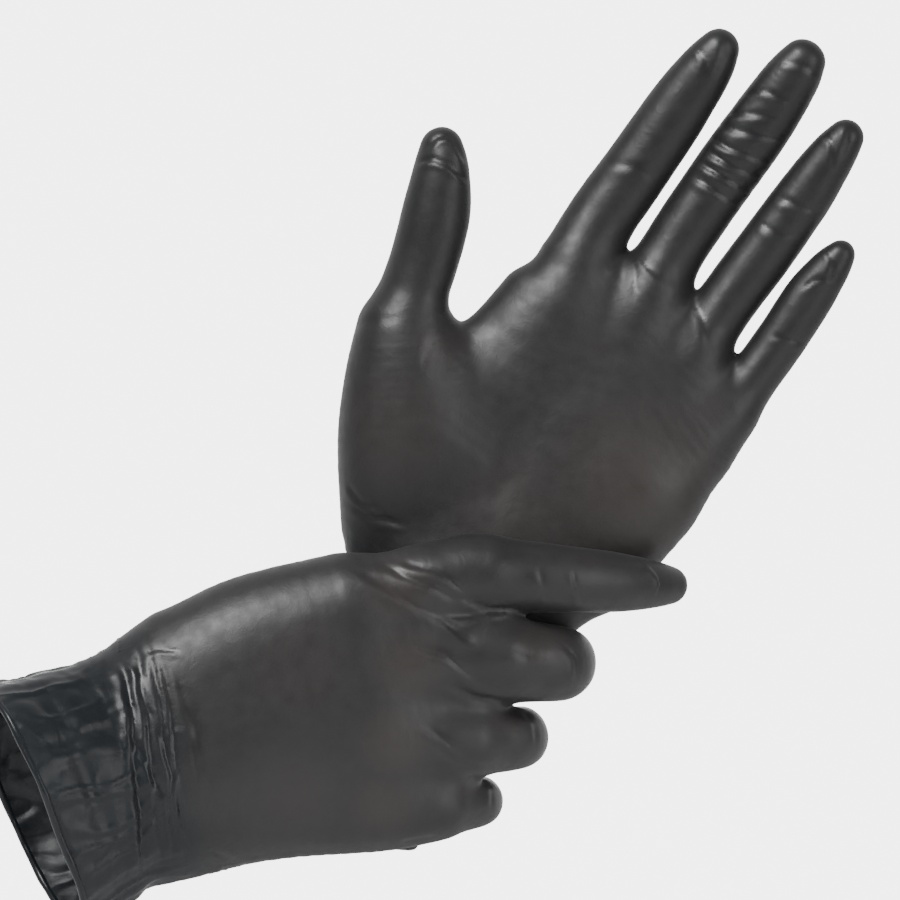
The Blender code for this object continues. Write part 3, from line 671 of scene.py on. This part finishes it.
def build(side, hand):
    V, F = surface(hand, 1.7)
    V = relax(V, F, 1)
    V, _ = project(V, hand, 2)
    V = relax(V, F, 1, 0.4)
    V, _ = project(V, hand, 1)
    V, F = refine(V, F)
    V, G = project(V, hand, 1)
    V = relax(V, F, 1, 0.4)
    d, crease, stretch_highlight, s, loose = displace(side, V, G, hand)
    V = V + G * d[:, None]
    V = relax(V, F, 1, 0.15)
    sleeve = np.clip((s + 14 + noise(V / 10.0, 81) * 5) / 26, 0, 1)
    sleeve = sleeve * sleeve * (3 - 2 * sleeve)
    N = normals_of(V, F)
    wrist, arm, lat = (np.zeros(3), ARM_L, SIDE_L) if side == "left" else (WRIST_R, ARM_R, SIDE_R)
    hem = 73.0 if side == "left" else 41.5
    C = V[F].mean(1)
    S = (C - wrist) @ arm
    label = np.zeros(len(F), int)                       # 0 hand, -1 dropped, 1 cuff, 10.. digits
    label[S > 0] = 1
    label[S > hem] = -1
    digits = list(hand["digits"])
    dist = np.stack([chain_sdf(C, hand["digits"][g]) for g in digits], 1)
    near = dist.argmin(1)
    info = {}
    for gi, g in enumerate(digits):
        P = joint_points(side, g, hand["digits"][g])
        dirs = [unit(P[i + 1] - P[i]) for i in range(len(P) - 1)]
        z0, z1 = ROOT_ZONE[side][g]
        begin = P[0] + dirs[0] * (z0 - 0.5)
        mine = np.nonzero((near == gi) & (dist[:, gi] < 3.2) & ((C - begin) @ dirs[0] > 0) & (label == 0))[0]
        if side == "right" and g != "thumb":
            mine = mine[(C[mine, 0] > P[0][0] + z0 - 12)]
        X = C[mine]
        seg = np.zeros((len(X), len(dirs)))
        for i, dd in enumerate(dirs):
            w = X - P[i]
            L = np.linalg.norm(P[i + 1] - P[i])
            t = np.clip(w @ dd, 0 if i else -20, L if i < len(dirs) - 1 else L + 20)
            seg[:, i] = np.linalg.norm(w - t[:, None] * dd, axis=1)
        k = seg.argmin(1)
        part = np.zeros(len(X), int)
        L0 = np.linalg.norm(P[1] - P[0])
        cut = [z1 + 0.5 * max(L0 - 5.5 - z1, 0)]
        for i in range(1, len(dirs) - 1):
            L = np.linalg.norm(P[i + 1] - P[i])
            cut.append(0.5 * L)
        for i in range(len(dirs)):
            on = k == i
            if i < len(cut):
                beyond = (X - P[i]) @ dirs[i] > cut[i]
                part[on] = np.where(beyond[on], i + 1, i)
            else:
                part[on] = i
        label[mine] = 10 + gi * 3 + part
        info[g] = (gi, P, dirs, (z0, z1), len(dirs))
    # a hand face all round a digit's faces, or the other way, goes with its neighbours
    for _ in range(2):
        E = np.concatenate([np.sort(F[:, [i, (i + 1) % 4]], 1) for i in range(4)])
        key = E[:, 0].astype(np.int64) * len(V) + E[:, 1]
        order = np.argsort(key, kind="stable")
        fid = np.tile(np.arange(len(F)), 4)[order]
        ks = key[order]
        same = np.nonzero(ks[1:] == ks[:-1])[0]
        a, b = fid[same], fid[same + 1]
        diff = np.bincount(a, label[a] != label[b], len(F)) + np.bincount(b, label[a] != label[b], len(F))
        odd = np.nonzero(diff >= 3)[0]
        for x in odd:
            nb = np.concatenate([b[a == x], a[b == x]]) if len(odd) < 400 else []
            if len(nb):
                vals, cnt = np.unique(label[nb], return_counts=True)
                label[x] = vals[cnt.argmax()]

    def piece(name, sel, mat, extra=None):
        f = F[sel]
        used, inv = np.unique(f, return_inverse=True)
        v, n = V[used], N[used]
        f = inv.reshape(f.shape)
        every = dict(stretch_highlight=stretch_highlight, crease=crease, sleeve=sleeve)
        at = {k: x[used] for k, x in every.items()}
        if extra is not None:                           # an inner wall, turned to face inwards
            g = F[extra]
            u2, i2 = np.unique(g, return_inverse=True)
            v = np.concatenate([v, V[u2] - N[u2] * 0.8])
            n = np.concatenate([n, -N[u2]])
            f = np.concatenate([f, i2.reshape(g.shape)[:, ::-1] + len(used)])
            at = {k: np.concatenate([x, every[k][u2]]) for k, x in at.items()}
        return make(name, v, f, n, mat, at)

    body = f"{side}_hand"
    hand_faces = label == 0
    lining = hand_faces & (S > (-42 if side == "left" else -34))
    o = piece(f"{side}_hand_film", hand_faces, HAND_FILM, lining)
    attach(o, body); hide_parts(f"{side}_palm")
    o = piece(f"{side}_cuff_wall", label == 1, HAND_FILM, label == 1)
    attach(o, body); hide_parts(f"{side}_cuff")
    for g, (gi, P, dirs, (z0, z1), n) in info.items():
        bodies = [body, f"{side}_{g}_base"] + ([f"{side}_{g}_tip"] if g == "thumb" else [f"{side}_{g}_mid", f"{side}_{g}_tip"])
        for i in range(n):
            sel = label == 10 + gi * 3 + i
            if not sel.any():
                print("EMPTY", side, g, i)
                continue
            o = piece(f"{side}_{g}_{('root', 'knuckle', 'end')[i]}_film", sel, HAND_FILM)
            if i == 0:
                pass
            else:
                r = min(5.5, 0.42 * np.linalg.norm(P[i] - P[i - 1]))
            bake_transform(o)
            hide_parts(bodies[i + 1])
    # rolled bead round the hem
    count, ring = 180, 12
    A = np.linspace(0, 2 * math.pi, count, endpoint=False)
    nrm = np.cross(arm, lat)
    base = wrist + arm * hem
    dirv = np.cos(A)[:, None] * lat + np.sin(A)[:, None] * nrm
    lo_, hi_ = np.full(count, 5.0), np.full(count, 60.0)
    for _ in range(30):
        m_ = (lo_ + hi_) / 2
        ins = hand_sdf(base + dirv * m_[:, None], hand) < 0
        lo_, hi_ = np.where(ins, m_, lo_), np.where(ins, hi_, m_)
    pts = base + dirv * lo_[:, None]
    _, g_ = gradient(pts, hand)
    g_ /= np.linalg.norm(g_, axis=1)[:, None]
    dd, _, _, _, _ = displace(side, pts, g_, hand)
    pts = pts + g_ * dd[:, None]
    for _ in range(2):
        pts = pts * 0.5 + (np.roll(pts, 1, 0) + np.roll(pts, -1, 0)) * 0.25
    r = 1.15 + 0.18 * noise(np.stack([np.cos(A) * 6, np.sin(A) * 6, A * 0], 1), 71)
    T = np.roll(pts, -1, 0) - np.roll(pts, 1, 0)
    T /= np.linalg.norm(T, axis=1)[:, None]
    Bn = np.cross(T, g_); Bn /= np.linalg.norm(Bn, axis=1)[:, None]
    Gn = np.cross(Bn, T)
    pts = pts - Gn * 0.4
    th = np.linspace(0, 2 * math.pi, ring, endpoint=False)
    RV = (pts[:, None] + r[:, None, None] * (np.cos(th)[None, :, None] * Gn[:, None] + np.sin(th)[None, :, None] * Bn[:, None]))
    RN = (np.cos(th)[None, :, None] * Gn[:, None] + np.sin(th)[None, :, None] * Bn[:, None]).reshape(-1, 3)
    i, j = np.meshgrid(np.arange(count), np.arange(ring), indexing="ij")
    i2, j2 = (i + 1) % count, (j + 1) % ring
    RF = np.stack([i * ring + j, i * ring + j2, i2 * ring + j2, i2 * ring + j], -1).reshape(-1, 4)
    vv = RV.reshape(-1, 3)
    fn = np.cross(vv[RF[:, 1]] - vv[RF[:, 0]], vv[RF[:, 2]] - vv[RF[:, 0]])
    if (fn * RN[RF[:, 0]]).sum() < 0:
        RF = RF[:, ::-1]
    o = make(f"{side}_hem_bead", vv, RF, RN, BEAD_FILM, dict(stretch_highlight=np.zeros(len(vv)), crease=np.zeros(len(vv)), sleeve=np.ones(len(vv))))
    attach(o, body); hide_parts(f"{side}_cuff_bead")
    return len(F)


total = build("left", left_hand()) + build("right", right_hand())
print("faces", total)

# ---------------------------------------------------------------------------
# Floor, light and camera
# ---------------------------------------------------------------------------
floor_mat = bpy.data.materials.new("pale_floor")
floor_mat.use_nodes = True
ft = floor_mat.node_tree
fb = ft.nodes["Principled BSDF"]
fn_ = ft.nodes.new("ShaderNodeTexNoise"); fn_.inputs["Scale"].default_value = 9
fr = ft.nodes.new("ShaderNodeValToRGB")
fr.color_ramp.elements[0].color = (0.86, 0.86, 0.86, 1); fr.color_ramp.elements[1].color = (0.90, 0.90, 0.90, 1)
ft.links.new(fn_.outputs["Fac"], fr.inputs["Fac"]); ft.links.new(fr.outputs["Color"], fb.inputs["Base Color"])
fb.inputs["Roughness"].default_value = 0.9
bpy.ops.mesh.primitive_plane_add(size=0.9, location=(0, 0, CAD_BOX[0][2] - 0.02))
floor = bpy.context.object
floor.name = "floor"
floor.data.materials.append(floor_mat)

world = bpy.context.scene.world or bpy.data.worlds.new("world")
bpy.context.scene.world = world
world.use_nodes = True
bg = world.node_tree.nodes["Background"]
wt = world.node_tree
wc = wt.nodes.new("ShaderNodeTexCoord")
ws = wt.nodes.new("ShaderNodeSeparateXYZ")
wr_ = wt.nodes.new("ShaderNodeValToRGB")
wr_.color_ramp.elements[0].position = 0.0; wr_.color_ramp.elements[0].color = (0.24, 0.24, 0.25, 1)
wr_.color_ramp.elements[1].position = 0.75; wr_.color_ramp.elements[1].color = (1.0, 1.0, 1.0, 1)
wt.links.new(wc.outputs["Generated"], ws.inputs["Vector"])
wt.links.new(ws.outputs["Y"], wr_.inputs["Fac"])
wt.links.new(wr_.outputs["Color"], bg.inputs["Color"])
glow = wt.nodes.new("ShaderNodeMapRange")
glow.interpolation_type = "SMOOTHSTEP"
glow.inputs["From Min"].default_value = 0.95; glow.inputs["From Max"].default_value = 0.99
glow.inputs["To Min"].default_value = 1.0; glow.inputs["To Max"].default_value = 5.0
wt.links.new(ws.outputs["Y"], glow.inputs["Value"])
wt.links.new(glow.outputs["Result"], bg.inputs["Strength"])


def area(name, at, size, power, target=(0.0, 0.0, 0.03)):
    l = bpy.data.lights.new(name, "AREA")
    l.shape = "RECTANGLE"
    l.size, l.size_y = size
    l.energy = power
    o = bpy.data.objects.new(name, l)
    bpy.context.scene.collection.objects.link(o)
    o.location = at
    o.rotation_euler = (Vector(target) - Vector(at)).to_track_quat("-Z", "Y").to_euler()


area("key", (-0.55, -0.9, 1.0), (0.6, 0.6), 24)
area("fill", (0.95, -0.8, 0.2), (0.7, 0.9), 5)

cam = bpy.data.cameras.new("camera")
cam.sensor_width = 36
cam.lens = 36 * 2.5 / 0.279
camera = bpy.data.objects.new("camera", cam)
bpy.context.scene.collection.objects.link(camera)
camera.location = (0.0031, -2.5, 0.0465)
camera.rotation_euler = (math.pi / 2, 0, 0)
cam.clip_end = 50
bpy.context.scene.camera = camera
